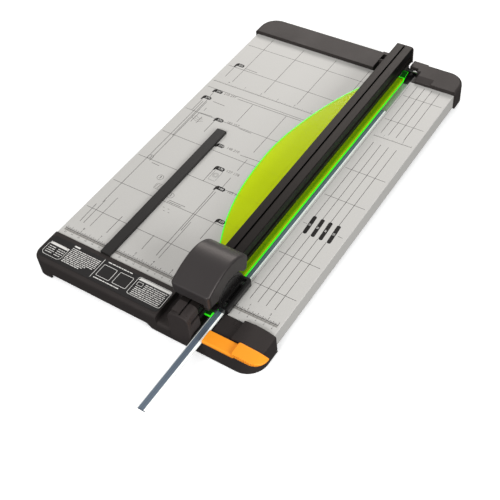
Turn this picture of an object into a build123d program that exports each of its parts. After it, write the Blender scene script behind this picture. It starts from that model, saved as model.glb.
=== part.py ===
from build123d import *
import math
import os

os.makedirs("parts", exist_ok=True)

# Rotary paper trimmer, millimetres.
# Working datum: x from the board's left edge, y from the paper stop (+y to the rear),
# z from the board's top face.  Every piece is shifted on export so that the origin lies
# on the table under the middle of the whole outline (mat drawn out), with +X to the
# off-cut side and +Y to the rear.

# ---------------------------------------------------------------- driving dimensions
BOARD_W = 296.0          # board width
BOARD_T = 1.2            # sheet thickness
BOARD_SKIRT = 19.0       # depth of the folded long sides
Y_STOP = 0.0             # paper stop (front lip)
Y_REAR_LIP = 428.0       # rear lip
Y_FRONT = -42.0          # front face of the base
Y_BACK = 464.5           # rear face of the base
CAP_OVER = 2.5           # how far the end caps stand out past the board
GROUND = -28.0           # table under the feet
SKIRT_Z = -25.0          # lowest edge of the front cap
REAR_Z = -20.0           # lowest edge of the rear cap
LABEL_TOP = 1.5          # top of the label end
RIGHT_TOP = 6.0          # above the arched top of the raised right end
RIGHT_X = 261.0          # where the raised right end begins
REAR_TOP = 5.5           # top of the rear cap

MAT_X0, MAT_X1 = 223.9, 234.4
MAT_TOP, MAT_T = -1.3, 2.8
MAT_Y0, MAT_Y1 = -136.0, 364.0

RAIL_X0, RAIL_X1 = 198.5, 221.5
RAIL_Z0, RAIL_Z1 = 8.0, 27.5
RAIL_Y0, RAIL_Y1 = -24.0, 460.0
HINGE_Y, HINGE_Z = 447.5, 1.6
PIN_R = 1.5

BLADE_X, BLADE_Y, BLADE_R, BLADE_T = 228.4, 21.0, 14.0, 0.6
BLADE_Z = 15.3
PRESS = 2.2              # how far the head goes down

HOOD_X0, HOOD_X1 = 186.0, 234.0
HOOD_Y0 = -20.0

LEVER_Y0, LEVER_Y1 = -42.9, -27.4
LEVER_SLIDE = 8.5

GAUGE_X0, GAUGE_X1 = 66.0, 79.6
GAUGE_Y0, GAUGE_Y1 = 0.4, 233.5
GAUGE_T = 3.7

OX = -(-CAP_OVER + BOARD_W + CAP_OVER + LEVER_SLIDE) / 2
OY = -(MAT_Y0 + Y_BACK) / 2
OZ = -GROUND


# ---------------------------------------------------------------- helpers
def bx(x0, x1, y0, y1, z0, z1):
    return Pos((x0 + x1) / 2, (y0 + y1) / 2, (z0 + z1) / 2) * Box(x1 - x0, y1 - y0, z1 - z0)


def cz(x, y, r, z0, z1):
    return Pos(x, y, (z0 + z1) / 2) * Cylinder(r, z1 - z0)


def cx(y, z, r, x0, x1):
    return Pos((x0 + x1) / 2, y, z) * Rot(0, 90, 0) * Cylinder(r, x1 - x0)


def cy(x, z, r, y0, y1):
    return Pos(x, (y0 + y1) / 2, z) * Rot(90, 0, 0) * Cylinder(r, y1 - y0)


def poly_yz(pts, x0, x1):
    """Prism along X from a closed polygon of (y, z)."""
    w = Polyline(*[(x0, p[0], p[1]) for p in pts], close=True)
    return extrude(make_face(w), amount=x1 - x0, dir=(1, 0, 0))


def poly_xz(pts, y0, y1):
    w = Polyline(*[(p[0], y0, p[1]) for p in pts], close=True)
    return extrude(make_face(w), amount=y1 - y0, dir=(0, 1, 0))


def poly_xy(pts, z0, z1):
    w = Polyline(*[(p[0], p[1], z0) for p in pts], close=True)
    return extrude(make_face(w), amount=z1 - z0, dir=(0, 0, 1))


def plan(x0, x1, y0, y1, r, z0, z1):
    """Prism with plan corner radii r = (front left, front right, rear right, rear left)."""
    fl, fr, rr, rl = r
    e = []

    def arc(c, rad, a0, a1):
        p = [(c[0] + rad * math.cos(math.radians(a)), c[1] + rad * math.sin(math.radians(a)), z0)
             for a in (a0, (a0 + a1) / 2, a1)]
        return ThreePointArc(*p)

    def corner(c, rad, a0, a1):
        if rad > 0:
            e.append(arc(c, rad, a0, a1))

    pts = []
    corner((x0 + fl, y0 + fl), fl, 180, 270)
    e.append(Line((x0 + fl, y0, z0), (x1 - fr, y0, z0)))
    corner((x1 - fr, y0 + fr), fr, 270, 360)
    e.append(Line((x1, y0 + fr, z0), (x1, y1 - rr, z0)))
    corner((x1 - rr, y1 - rr), rr, 0, 90)
    e.append(Line((x1 - rr, y1, z0), (x0 + rl, y1, z0)))
    corner((x0 + rl, y1 - rl), rl, 90, 180)
    e.append(Line((x0, y1 - rl, z0), (x0, y0 + fl, z0)))
    return extrude(make_face(Wire(e)), amount=z1 - z0, dir=(0, 0, 1))


def soft(shape, pick, r):
    """Fillet the picked edges, or leave the shape as it is where the radius does not fit."""
    es = pick(shape)
    for k in (1.0, 0.7, 0.4):
        try:
            out = fillet(es, r * k)
            if out.is_valid and out.volume > 0:
                return out
        except Exception:
            continue
    print("  fillet left out", r)
    return shape


def emit(node, *solids):
    parts = []
    for s in solids:
        parts.extend(s.solids() if hasattr(s, "solids") else [s])
    moved = [Pos(OX, OY, OZ) * p for p in parts]
    if len(moved) == 1:
        shape = moved[0]
    else:
        shape = Compound(children=[Solid(m.wrapped) if not isinstance(m, Solid) else m for m in moved])
    export_step(shape, f"parts/{node}.step")
    print(node, len(moved))


# ---------------------------------------------------------------- base: board, tray, braces
SLOT_X0, SLOT_X1 = 223.3, 235.0


def folded_sheet(x0, x1, edge):
    """Sheet with its outer side folded down and under; edge is the outer side's x."""
    d = 1 if edge == x0 else -1
    b = bx(x0, x1, -28, 446, -BOARD_T, 0)
    b += bx(min(edge, edge + d * BOARD_T), max(edge, edge + d * BOARD_T), -28, 446, -BOARD_SKIRT, 0)
    b += bx(min(edge + d * BOARD_T, edge + d * 7), max(edge + d * BOARD_T, edge + d * 7), -28, 446,
            -BOARD_SKIRT, -BOARD_SKIRT + BOARD_T)
    b -= bx(171.9, RIGHT_X, -30, 0, -BOARD_T - 0.1, 0.1)      # open over the rail's front pocket
    b -= bx(RIGHT_X, BOARD_W + 1, -30, -22, -BOARD_SKIRT - 1, 1)  # clear of the lever shelf
    b -= bx(178.3, 244.1, 428, 460, -BOARD_T - 0.1, 0.1)      # open over the hinge recess
    return soft(b, lambda s: s.edges().filter_by(Axis.Y).group_by(Axis.Z)[-1].filter_by(
        lambda e: abs(e.center().X - edge) < 0.1), 0.9)


# the cutting slot parts the board into two sheets, which the tray and the end caps tie together
emit("board_main_panel", folded_sheet(0, SLOT_X0, 0))
emit("board_side_panel", folded_sheet(SLOT_X1, BOARD_W, BOARD_W))

TRAY_X0, TRAY_X1 = 222.2, 236.2
tray = bx(TRAY_X0, TRAY_X1, -41.6, 458.0, -6.0, -BOARD_T)
tray += bx(216.0, 242.0, 2.2, 427.8, -2.4, -BOARD_T)
tray -= bx(MAT_X0 - 0.3, MAT_X1 + 0.3, -50, 470, MAT_TOP - MAT_T - 0.3, 5)
emit("mat_tray", tray)

braces = []
for y in (92, 214, 336):
    b = bx(BOARD_T, BOARD_W - BOARD_T, y - 9, y + 9, -17.6, -BOARD_T)
    b -= bx(216.0, 242.0, y - 10, y + 10, -2.4, 0) + bx(TRAY_X0, TRAY_X1, y - 10, y + 10, -6.0, 0)
    b -= bx(12, 214, y - 6.5, y + 6.5, -18, -4)
    b -= bx(244, BOARD_W - 12, y - 6.5, y + 6.5, -18, -4)
    braces.append(b)
emit("under_braces", *braces)

# ---------------------------------------------------------------- front end cap
FX0, FX1 = -CAP_OVER, BOARD_W + CAP_OVER
FR = (14.0, 24.0, 0.0, 0.0)
WALL = 2.5


def front(z0, z1, inset=0.0, y1=0.0):
    r = (max(FR[0] - inset, 1), max(FR[1] - inset, 1), 0, 0)
    return plan(FX0 + inset, FX1 - inset, Y_FRONT + inset, y1, r, z0, z1)


left = front(-19.0, LABEL_TOP) & bx(-10, 174.5, -50, 10, -40, 10)
left = soft(left, lambda s: s.edges().group_by(Axis.Z)[-1].filter_by(
    lambda e: e.center().Y < -1 and e.center().X < 170), 5.0)
left -= front(-30, -1.0, WALL) & bx(-10, 172, -50, -28, -40, 10)
left -= bx(0, 172, -28, 10, -30, 0)
# corner foot of the skirt and the step down to the middle of the front
skirt = (front(-26.5, -18.9) - front(-30, -10, WALL)) & bx(-10, 21, -50, -4, -40, 10)
skirt -= bx(-10, 12, -22, 0, -40, -19)
step = poly_xz([(158, -18.5), (176, -18.5), (176, SKIRT_Z), (169, SKIRT_Z), (165.5, -24.4),
                (162.5, -21.5), (160, -19.6)], Y_FRONT, Y_FRONT + WALL)

# middle: low floor left of the rail with the same rounded front edge, then the rail's pocket
middle = front(SKIRT_Z, -9.0, 0, 2.0) & bx(174.4, 193.2, -50, 10, -40, 10)
middle = soft(middle, lambda s: s.edges().group_by(Axis.Z)[-1].filter_by(lambda e: e.center().Y < -41), 5.0)
middle += front(SKIRT_Z, -9.0, 0, 2.0) & bx(193.1, RIGHT_X + 0.1, -50, 10, -40, 10)
middle -= front(-40, -11.5, WALL, 3.0) & bx(177, RIGHT_X - 2.5, -50, 10, -40, 10)
middle += bx(191.0, 221.9 + 2.4, Y_FRONT + 5.0, -19.5, -21.5, -9.0) + bx(191.0, 221.9 + 2.4, Y_FRONT, -37, -21.5, -14.0)
middle -= bx(195.6, 221.9, Y_FRONT - 1, -22.0, -19.0, 0)
middle -= bx(193.7, 221.9, Y_FRONT - 8, -37.9, -19.0, 0)
middle += bx(TRAY_X0, TRAY_X1, Y_FRONT, 2.0, -9.0, -6.0)
middle += bx(TRAY_X1, RIGHT_X + 0.1, Y_FRONT, 0.0, -9.0, -BOARD_T)
middle -= bx(TRAY_X1, RIGHT_X + 0.1, -26.2, 1, -1.5, 1)
middle += bx(172.1, TRAY_X0, -0.6, 2.0, -9.0, -BOARD_T)
middle -= bx(237.2, RIGHT_X - 2.5, -39.5, -2.5, -12, -4.4)
for y in (-2.7, -4.6, -6.5, -8.4):                           # four fine ridges beside the raised end
    middle += bx(250.2, 258.6, y - 0.35, y + 0.35, -1.6, -1.15)

# raised right end: arched across, falling to the right side
arch = [(RIGHT_X - 2, 3.4), (265.0, 4.3), (270.0, 4.95), (277.0, 5.3), (284.0, 4.8), (290.0, 3.55), (295.0, 1.9), (298.5, 0.4),
        (301.0, -0.9)]
sp = Spline(*[(p[0], -50.0, p[1]) for p in arch])
ln = Polyline((301.0, -50.0, -0.9), (301.0, -50.0, -30.0), (RIGHT_X - 2, -50.0, -30.0), (RIGHT_X - 2, -50.0, 3.4))
arch_body = extrude(make_face(Wire([sp] + list(ln.edges()))), amount=60.0, dir=(0, 1, 0))
right = front(SKIRT_Z, RIGHT_TOP) & bx(RIGHT_X, 310, -50, 10, -40, 10)
right = right & arch_body
right = soft(right, lambda s: s.edges().filter_by(lambda e: e.center().Z > -6 and e.center().Y < -0.5
                                                  and e.center().X > RIGHT_X + 0.6), 1.5)
right -= bx(250, 310, -50, -25.6, -BOARD_T, 20)
right -= front(-40, -3.7, WALL) & bx(RIGHT_X + 2.5, 310, -50, -23.2, -40, 10)
right -= bx(RIGHT_X + 2.5, BOARD_W, -23.3, 10, -40, -2.4)
right -= bx(RIGHT_X, BOARD_W, -22, 10, -40, 0)
right += bx(RIGHT_X, RIGHT_X + 2.5, -22, 0, SKIRT_Z, -BOARD_T)

# bosses for feet and screws under the front cap
foot_front = [(17, -26), (279.5, -18), (185, -8)]
screw_front = [(40, -14), (100, -14), (158, -14), (270, -9)]
cap = left + skirt + step + middle + right
cap += cz(17, -26, 8.5, -25.5, -BOARD_T) + (cz(17, -26, 8.5, -BOARD_T - 0.1, -0.5) & bx(0, 40, -50, -28.1, -5, 0))
cap += cz(279.5, -18, 8.5, -25.5, -2.3)
cap += cz(185, -8, 8.5, -25.5, -11.4)
for x, y in screw_front:
    cap += cz(x, y, 4.2, -12.0, -BOARD_T)
    if x < 200:
        cap += bx(x - 1.2, x + 1.2, -40.0, y, -12.0, -BOARD_T) + bx(x - 1.2, x + 1.2, -40.0, -28.1, -12.0, -0.9)
    else:
        cap += bx(RIGHT_X + 1.0, x, y - 1.2, y + 1.2, -12.0, -BOARD_T)
    cap -= cz(x, y, 1.6, -13.0, -BOARD_T) + cz(x, y, 3.4, -16.0, -12.0)
# slot for the lever's boss
cap -= bx(241.2, 249.7, -37.7, -31.7, -12, 0) + cz(241.2, -34.7, 3.0, -12, 0) + cz(249.7, -34.7, 3.0, -12, 0)
emit("front_end_cap", cap)

# ---------------------------------------------------------------- rear end cap
RR = (0.0, 0.0, 23.0, 23.0)


def rear(z0, z1, inset=0.0, y0=Y_REAR_LIP):
    r = (0, 0, RR[2] - inset, RR[3] - inset)
    return plan(FX0 + inset, FX1 - inset, y0, Y_BACK - inset, r, z0, z1)


rcap = rear(REAR_Z, REAR_TOP)
rcap = soft(rcap, lambda s: s.edges().group_by(Axis.Z)[-1].filter_by(
    lambda e: e.center().Y > Y_REAR_LIP + 1), 3.6)
rcap -= rear(-40, 2.6, WALL) & bx(-20, 320, 446.0, 480, -50, 10)
rcap -= bx(0, BOARD_W, 400, 446.1, -40, 0)
# hinge recess: floor, side walls, rear rim
floor = bx(178.4, 244.0, 430.0, Y_BACK - 0.5, -11.5, REAR_TOP)
rcap += floor & rear(-12, REAR_TOP - 0.01, 0.6)
rcap -= bx(181.0, 241.3, 420, 458.6, -9.0, 20)
rcap -= bx(196.8, 223.6, 450, 480, -9.0, 20)
rcap += bx(TRAY_X1, 241.3, 430, 458.6, -9.0, -BOARD_T)
rcap += bx(TRAY_X0, TRAY_X1, 430, 459.0, -9.0, -6.0)
# deep rim behind the pin, over the mat's way, and the wall beside the pin
rcap += bx(223.6, 241.4, 451.2, 458.7, -1.1, REAR_TOP - 0.01) + bx(235.8, 241.4, 446.8, 451.3, -1.1, REAR_TOP - 0.01)
rcap -= bx(TRAY_X0, TRAY_X1, 450, 458.1, -6.0, 0)
# the lip is lower beside the recess and rises to the rear
rcap -= poly_yz([(427, 3.8), (428.5, 3.8), (440, REAR_TOP + 0.2), (427, REAR_TOP + 0.2)], 241.0, 263.6)
# bosses that carry the hinge pin
rcap += cx(HINGE_Y, HINGE_Z, 3.2, 178.5, 188.5) & bx(170, 200, 430, 460, -9, 20)
rcap += bx(181.0, 188.5, HINGE_Y - 3.2, HINGE_Y + 3.2, -9.0, HINGE_Z)
rcap += cx(HINGE_Y, HINGE_Z, 3.0, 236.3, 243.9)
rcap += bx(236.3, 241.3, HINGE_Y - 3.0, HINGE_Y + 3.0, -BOARD_T - 0.5, HINGE_Z)
rcap -= cx(HINGE_Y, HINGE_Z, PIN_R, 184.0, 243.0)
foot_rear = [(22, 446), (277, 442)]
screw_rear = [(40, 438), (100, 438), (160, 438), (257, 436)]
for x, y in foot_rear:
    rcap += cz(x, y, 8.5, -25.5, -BOARD_T) + bx(x - 1.2, x + 1.2, y, 463.0, -20.0, -BOARD_T)
    rcap += bx(x - 1.2, x + 1.2, 446.1, 463.0, -20.0, 2.7)
for x, y in screw_rear:
    rcap += cz(x, y, 4.2, -12.0, -BOARD_T)
    rcap += bx(x - 1.2, x + 1.2, y, 463.0, -12.0, -BOARD_T) + bx(x - 1.2, x + 1.2, 446.1, 463.0, -12.0, 2.7)
    rcap -= cz(x, y, 1.6, -13.0, -BOARD_T) + cz(x, y, 3.4, -16.0, -12.0)
emit("rear_end_cap", rcap)

# small hardware
emit("cap_screws", *[cz(x, y, 1.55, -12.0, -BOARD_T) + cz(x, y, 3.2, -13.8, -12.0)
                     for x, y in screw_front + screw_rear])
feet = []
for x, y in foot_front + foot_rear:
    f = cz(x, y, 8.0, GROUND, -25.5)
    feet.append(soft(f, lambda s: s.edges().group_by(Axis.Z)[0], 0.8))
emit("rubber_feet", *feet)
emit("rail_bump_pad", bx(202, 217, -38, -27, -19.0, -17.35))
emit("label_plate", soft(bx(2.6, 173.4, -36.6, -5.2, LABEL_TOP, LABEL_TOP + 0.3),
                         lambda s: s.edges().filter_by(Axis.Z), 5.0))

# ---------------------------------------------------------------- hinge
emit("hinge_pin", cx(HINGE_Y, HINGE_Z, PIN_R, 184.0, 243.0))
bush = []
for x0, x1 in ((188.7, 198.6), (221.5, 229.6)):
    bush.append(cx(HINGE_Y, HINGE_Z, 2.3, x0, x1) - cx(HINGE_Y, HINGE_Z, PIN_R, x0 - 1, x1 + 1))
emit("hinge_bushes", *bush)

# ---------------------------------------------------------------- rail
GR_Z0, GR_Z1, GR_D = 13.0, 17.5, 3.0
XM = (RAIL_X0 + RAIL_X1) / 2


def grooves(y0, y1):
    g = bx(XM - 1.2, XM + 1.2, y0, y1, RAIL_Z1 - 3.0, RAIL_Z1 + 1)
    g += bx(RAIL_X0 - 1, RAIL_X0 + GR_D, y0, y1, GR_Z0, GR_Z1)
    g += bx(RAIL_X1 - GR_D, RAIL_X1 + 1, y0, y1, GR_Z0, GR_Z1)
    return g


rail = bx(RAIL_X0, RAIL_X1, RAIL_Y0, RAIL_Y1, RAIL_Z0, RAIL_Z1)
rail = soft(rail, lambda s: s.edges().filter_by(Axis.Y).group_by(Axis.Z)[-1], 1.0)
rail -= grooves(RAIL_Y0 - 1, RAIL_Y1 + 1)
rail -= bx(203.5, 216.5, RAIL_Y0 - 1, RAIL_Y1 + 1, RAIL_Z0 - 1, 22.0)

# front end: section of the rail, rounded right shoulder, leg standing in the base pocket
fe = bx(RAIL_X0, 221.0, Y_FRONT, RAIL_Y0, RAIL_Z0, RAIL_Z1)
fe += bx(198.2, 221.0, Y_FRONT, RAIL_Y0, -17.0, RAIL_Z0)
fe = soft(fe, lambda s: s.edges().filter_by(Axis.Y).group_by(Axis.Z)[-1].filter_by(
    lambda e: e.center().X > 215), 5.0)
fe = soft(fe, lambda s: s.edges().filter_by(Axis.Y).filter_by(
    lambda e: e.center().X < 199 and e.center().Z > 26), 1.6)
fe -= bx(190, 230, Y_FRONT - 1, -38.2, -20, 30)
fe -= grooves(-38.2, RAIL_Y0 + 1)
fe -= bx(203.5, 216.5, -38.0, RAIL_Y0 + 1, -14.0, 5.0)
# end plate: arched top, wider to the left, a little proud of the base
YP = Y_FRONT - 1.0
pl_top = [(194.2, 5.0), (195.2, 17.5), (197.5, 23.0), (201.0, 24.9), (206.0, 26.4), (211.0, 27.2), (214.5, 27.2),
          (217.6, 26.3), (219.8, 24.6), (221.0, 22.0), (221.4, 18.0)]
sp = Spline(*[(p[0], YP, p[1]) for p in pl_top])
ln = Polyline((221.4, YP, 18.0), (221.4, YP, -17.0), (194.3, YP, -17.0), (194.2, YP, 5.0))
plate = extrude(make_face(Wire([sp] + list(ln.edges()))), amount=-38.1 - YP, dir=(0, 1, 0))
plate = soft(plate, lambda s: s.edges().group_by(Axis.Y)[0].filter_by(lambda e: e.center().Z > -16.5), 0.8)
plate -= bx(XM - 1.2, XM + 1.2, -41.0, -38.0, RAIL_Z1 - 3.0, RAIL_Z1 + 1)
fe += plate
screws_fe = [(201.0, 21.5), (218.9, 21.5)]
for x, z in screws_fe:
    fe -= cy(x, z, 1.25, -36.0, RAIL_Y0 + 1)
emit("rail_front_end", fe)

re_ = bx(198.0, 222.2, RAIL_Y1, 462.6, 4.6, 27.4)
re_ = soft(re_, lambda s: s.edges().filter_by(Axis.Y).group_by(Axis.Z)[-1].filter_by(lambda e: e.center().X > 215), 4.0)
re_ = soft(re_, lambda s: s.edges().filter_by(Axis.Y).filter_by(lambda e: e.center().X < 199 and e.center().Z > 26), 1.6)
re_ = soft(re_, lambda s: s.edges().group_by(Axis.Y)[-1].filter_by(lambda e: e.center().Z > 5), 0.8)
re_ += bx(199.0, 221.0, 441.5, RAIL_Y1 + 0.5, 4.6, RAIL_Z0)
re_ += bx(199.0, 221.0, 441.5, 453.5, HINGE_Z, 4.7)
re_ += cx(HINGE_Y, HINGE_Z, 6.0, 199.0, 221.0)
re_ -= cx(HINGE_Y, HINGE_Z, PIN_R + 0.05, 190, 230)
screws_re = [(201.0, 21.5), (218.9, 21.5)]
for x, z in screws_re:
    re_ -= cy(x, z, 1.25, RAIL_Y1 - 1, 461.2) + cy(x, z, 2.4, 461.2, 464)
emit("rail_rear_end", re_)

# the end screws run into the rail's upper corners
sc = []
for x, z in screws_re:
    sc.append(cy(x, z, 1.2, 449.0, 461.2) + cy(x, z, 2.3, 461.2, 462.2))
for x, z in screws_fe:
    sc.append(cy(x, z, 1.2, -35.5, -14.0))
rail2 = rail
for x, z in screws_re:
    rail2 -= cy(x, z, 1.25, 448.5, RAIL_Y1 + 1)
for x, z in screws_fe:
    rail2 -= cy(x, z, 1.25, RAIL_Y0 - 1, -13.5)
emit("rail_extrusion", rail2)
emit("rail_end_screws", *sc)

# ---------------------------------------------------------------- paper guide
GZ0, GZ1 = 0.3, 1.5
arc_pts = [(200.0, 22.0), (186.5, 54.0), (174.7, 80.5), (164.4, 104.0), (157.2, 126.0), (149.6, 159.0),
           (145.4, 195.0), (144.4, 240.0), (151.6, 291.0), (165.5, 343.0), (182.7, 386.0), (200.0, 420.0)]
spl = Spline(*[(p[0], p[1], GZ0) for p in arc_pts])
rest = Polyline((200.0, 420.0, GZ0), (200.0, 431.0, GZ0), (226.0, 431.0, GZ0), (227.9, 424.0, GZ0),
                (227.9, 2.0, GZ0), (226.0, -3.0, GZ0), (226.0, -12.6, GZ0), (206.0, -12.6, GZ0),
                (200.0, -6.0, GZ0), (200.0, 22.0, GZ0))
guide = extrude(make_face(Wire([spl] + list(rest.edges()))), amount=GZ1 - GZ0, dir=(0, 0, 1))
guide += poly_yz([(429.0, GZ0), (431.0, GZ0), (440.9, 3.2), (440.9, 4.4), (430.4, GZ1), (429.0, GZ1)], 219.2, 226.0)
post_y = (18.0, 150.0, 282.0, 414.0)
for y in post_y:
    guide -= cz(XM, y, 2.0, -1, 3)
emit("paper_guide", guide)
posts, springs = [], []
for y in post_y:
    p = cz(XM, y, 2.0, GZ1 - 1.0, 19.4) + cz(XM, y, 3.4, GZ1, GZ1 + 1.0)
    posts.append(p)
    springs.append(cz(XM, y, 3.6, GZ1 + 1.0, 22.0) - cz(XM, y, 2.7, 0, 30))
emit("guide_posts", *posts)
emit("guide_springs", *springs)

# ---------------------------------------------------------------- carriage
CY0, CY1 = -13.5, 43.5
sad = bx(194.0, 226.0, CY0, CY1, 28.6, 31.6)
sad += bx(194.0, 198.2, CY0, CY1, 12.2, 28.7)
sad += bx(221.8, 226.0, CY0, CY1, 12.2, 28.7)
sad += bx(198.1, 201.2, CY0, CY1, GR_Z0 + 0.3, GR_Z1 - 0.3)
sad += bx(218.8, 221.9, CY0, CY1, GR_Z0 + 0.3, GR_Z1 - 0.3)
pins = [(203.0, 1.0), (203.0, 38.0)]
for x, y in pins:
    sad -= cz(x, y, 1.5, 28.0, 32.0)
sad = soft(sad, lambda s: s.edges().filter_by(Axis.Y).group_by(Axis.Z)[-1], 1.2)
emit("carriage_saddle", sad)
emit("carriage_glides", *[bx(x0, x1, y0, y1, RAIL_Z1 + 0.1, 28.6)
                          for x0, x1 in ((204.9, 208.0), (212.0, 220.0)) for y0, y1 in ((CY0 + 1, 4), (26, CY1 - 1))])
emit("press_guide_pins", *[cz(x, y, 1.5, 28.7, 46.0) for x, y in pins])
emit("press_springs", *[cz(x, y, 3.1, 31.6, 41.5) - cz(x, y, 2.2, 30, 50) for x, y in pins])

# ---------------------------------------------------------------- cutter head
top = [(HOOD_Y0, 43.0), (-14.5, 45.3), (-8.5, 47.8), (-1.0, 50.4), (8.0, 52.7), (18.0, 53.9), (27.0, 53.4),
       (35.0, 51.5), (42.0, 48.1), (47.0, 44.4), (50.0, 41.4)]


def hood_prism(inset, x0, x1, zlow):
    """Side profile of the hood, extruded across; inset moves every wall inwards."""
    y0 = HOOD_Y0 + inset
    y1 = 51.0 - inset
    cyc = 18.0
    pts = []
    for y, z in top:
        pts.append((cyc + (y - cyc) * (1 - inset / 36.0), z - inset))
    sp = Spline(*[(x0, p[0], p[1]) for p in pts])
    ln = Polyline((x0, pts[-1][0], pts[-1][1]), (x0, y1 - 0.3, pts[-1][1] - 4.0), (x0, y1 - 4.4, zlow),
                  (x0, pts[0][0], zlow), (x0, pts[0][0], pts[0][1]))
    return extrude(make_face(Wire([sp] + list(ln.edges()))), amount=x1 - x0, dir=(1, 0, 0))


hood = hood_prism(0.0, HOOD_X0, HOOD_X1, 23.5)
hood = soft(hood, lambda s: s.edges().filter_by(Axis.Z).filter_by(lambda e: e.center().Y < 0), 4.0)
hood = soft(hood, lambda s: s.faces().filter_by(lambda f: f.center().Z > 45 and f.normal_at().Z > 0.5).edges().filter_by(
    lambda e: e.center().Y < 49.5), 2.6)
hood -= hood_prism(2.3, HOOD_X0 + 2.3, HOOD_X1 - 2.3, 23.4)
hood -= bx(180, 226.5, -30, -12.0, 0, 30.2) + bx(194, 226, 43.0, 60, 0, 30.2)
hood -= poly_yz([(-30, 10), (-30, 27.6), (-12, 26.8), (-4, 24.6), (-4, 10)], 226.4, 240)
hood -= bx(180, HOOD_X0 + 10, -30, 60, 0, 26.0)
hood -= cx(17.5, 8.3, 28.2, HOOD_X1 - 4.0, HOOD_X1 + 4)
for x, y in pins:
    hood += (cz(x, y, 4.2, 41.5, 60) & hood_prism(1.0, HOOD_X0 + 1, HOOD_X1 - 1, 23.5))
    hood -= cz(x, y, 1.58, 40, 49.0)
hs = [(219.0, 14.0), (219.0, 29.0)]
for x, y in hs:
    hood += (cz(x, y, 3.6, 43.0, 60) & hood_prism(1.0, HOOD_X0 + 1, HOOD_X1 - 1, 23.5))
    hood -= cz(x, y, 1.3, 40, 50.0)
emit("cutter_hood", hood)

holder = cx(BLADE_Y, BLADE_Z, 17.0, 226.4, 227.6) + bx(226.4, 227.6, 6.0, 36.0, BLADE_Z, 43.0)
holder -= bx(220, 230, -10, 60, -10, 6.4)
holder += bx(214.0, 227.6, 8.0, 34.0, 41.6, 43.0)
for x, y in hs:
    holder -= cz(x, y, 1.4, 40, 44)
holder -= cx(BLADE_Y, BLADE_Z, 2.0, 220, 230)
emit("blade_holder", holder)
emit("holder_screws", *[cz(x, y, 1.25, 41.6, 49.0) + cz(x, y, 2.6, 40.2, 41.6) for x, y in hs])

guard = cx(18.0, 12.0, 23.4, 229.9, 232.9) & bx(229, 234, -3.0, 45.0, -20, 60)
guard -= cx(18.4, 14.0, 18.6, 232.0, 233.5) - cx(18.4, 14.0, 17.6, 231.0, 234.0)
guard -= cx(18.4, 14.0, 16.6, 232.0, 233.5)
guard += bx(229.9, 232.9, -3.0, 45.0, 4.2, 10.5)
guard -= bx(220, 250, -10, 60, -20, 4.2)
# outer wall of the foot: rounded top edge and corners, a ledge inside between two ribs
GX1 = 240.9
wall = poly_xz([(236.4, 2.6), (236.4, 10.1), (236.7, 10.5), (239.2, 10.5), (240.0, 10.2), (240.6, 9.5), (GX1, 8.5), (GX1, 2.6)],
               -3.0, 45.0)
wall &= plan(230, GX1, -3.0, 45.0, (0, 2.8, 2.8, 0), 0, 20)
guard += wall
guard += poly_xz([(236.7, 4.2), (236.7, 9.0), (235.6, 8.5), (233.8, 8.1), (232.8, 7.5), (232.6, 4.2)], 11.0, 33.0)
for y in (9.6, 33.0):
    guard += bx(232.6, 236.9, y, y + 1.5, 4.2, 10.0)
guard += bx(226.4, 238.0, -3.0, 0.0, 6.4, 10.5) + bx(229.9, 238.0, -3.0, 0.0, 2.6, 6.5)
guard += bx(223.6, 229.9, -9.2, 0.0, 6.4, 10.5)
guard += bx(226.4, 238.0, 42.0, 45.0, 6.4, 10.5) + bx(229.9, 238.0, 42.0, 45.0, 4.2, 6.5)
guard -= cx(BLADE_Y, BLADE_Z, 2.0, 220, 250)
# spacer columns that tie the guard to the holder, in front of and behind the blade
for y in (5.4, 36.6):
    guard += cx(y, 8.9, 1.4, 227.6, 230.0)
emit("blade_guard", guard)
emit("blade_axle_screw", cx(BLADE_Y, BLADE_Z, 2.0, 226.4, 232.0) + cx(BLADE_Y, BLADE_Z, 3.4, 232.0, 233.3)
     - bx(232.7, 234.5, BLADE_Y - 0.45, BLADE_Y + 0.45, BLADE_Z - 5, BLADE_Z + 5))

# ---------------------------------------------------------------- disc blade
disc = cx(BLADE_Y, BLADE_Z, BLADE_R, BLADE_X - BLADE_T / 2, BLADE_X + BLADE_T / 2)
disc -= cx(BLADE_Y, BLADE_Z, 4.0, 220, 240)
emit("disc_blade", disc)
hub = cx(BLADE_Y, BLADE_Z, 4.0, 227.8, 229.0) + cx(BLADE_Y, BLADE_Z, 5.6, 228.7, 229.3)
hub -= cx(BLADE_Y, BLADE_Z, 2.06, 220, 240)
emit("blade_hub", hub)
emit("blade_clip", cx(BLADE_Y, BLADE_Z, 5.4, 227.8, 228.1) - cx(BLADE_Y, BLADE_Z, 4.0, 220, 240))

# ---------------------------------------------------------------- cutting mat
B = 1.3
BR = 2.5
mat = poly_xz([(MAT_X0 + B, MAT_TOP), (MAT_X1 - BR, MAT_TOP), (MAT_X1, MAT_TOP - 0.7), (MAT_X1, MAT_TOP - MAT_T + 0.7),
               (MAT_X1 - BR, MAT_TOP - MAT_T), (MAT_X0 + B, MAT_TOP - MAT_T), (MAT_X0, MAT_TOP - MAT_T + 0.9),
               (MAT_X0, MAT_TOP - 0.9)], MAT_Y0, MAT_Y1)
emit("cutting_mat", mat)

# ---------------------------------------------------------------- mat lock lever
LZ0 = -0.9
bar = poly_yz([(LEVER_Y0, LZ0), (LEVER_Y1, LZ0), (LEVER_Y1, 2.5), (LEVER_Y0 + 1.8, 2.5), (LEVER_Y0 + 0.5, 1.9),
               (LEVER_Y0, 0.7)], 235.5, 273.6)
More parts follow.
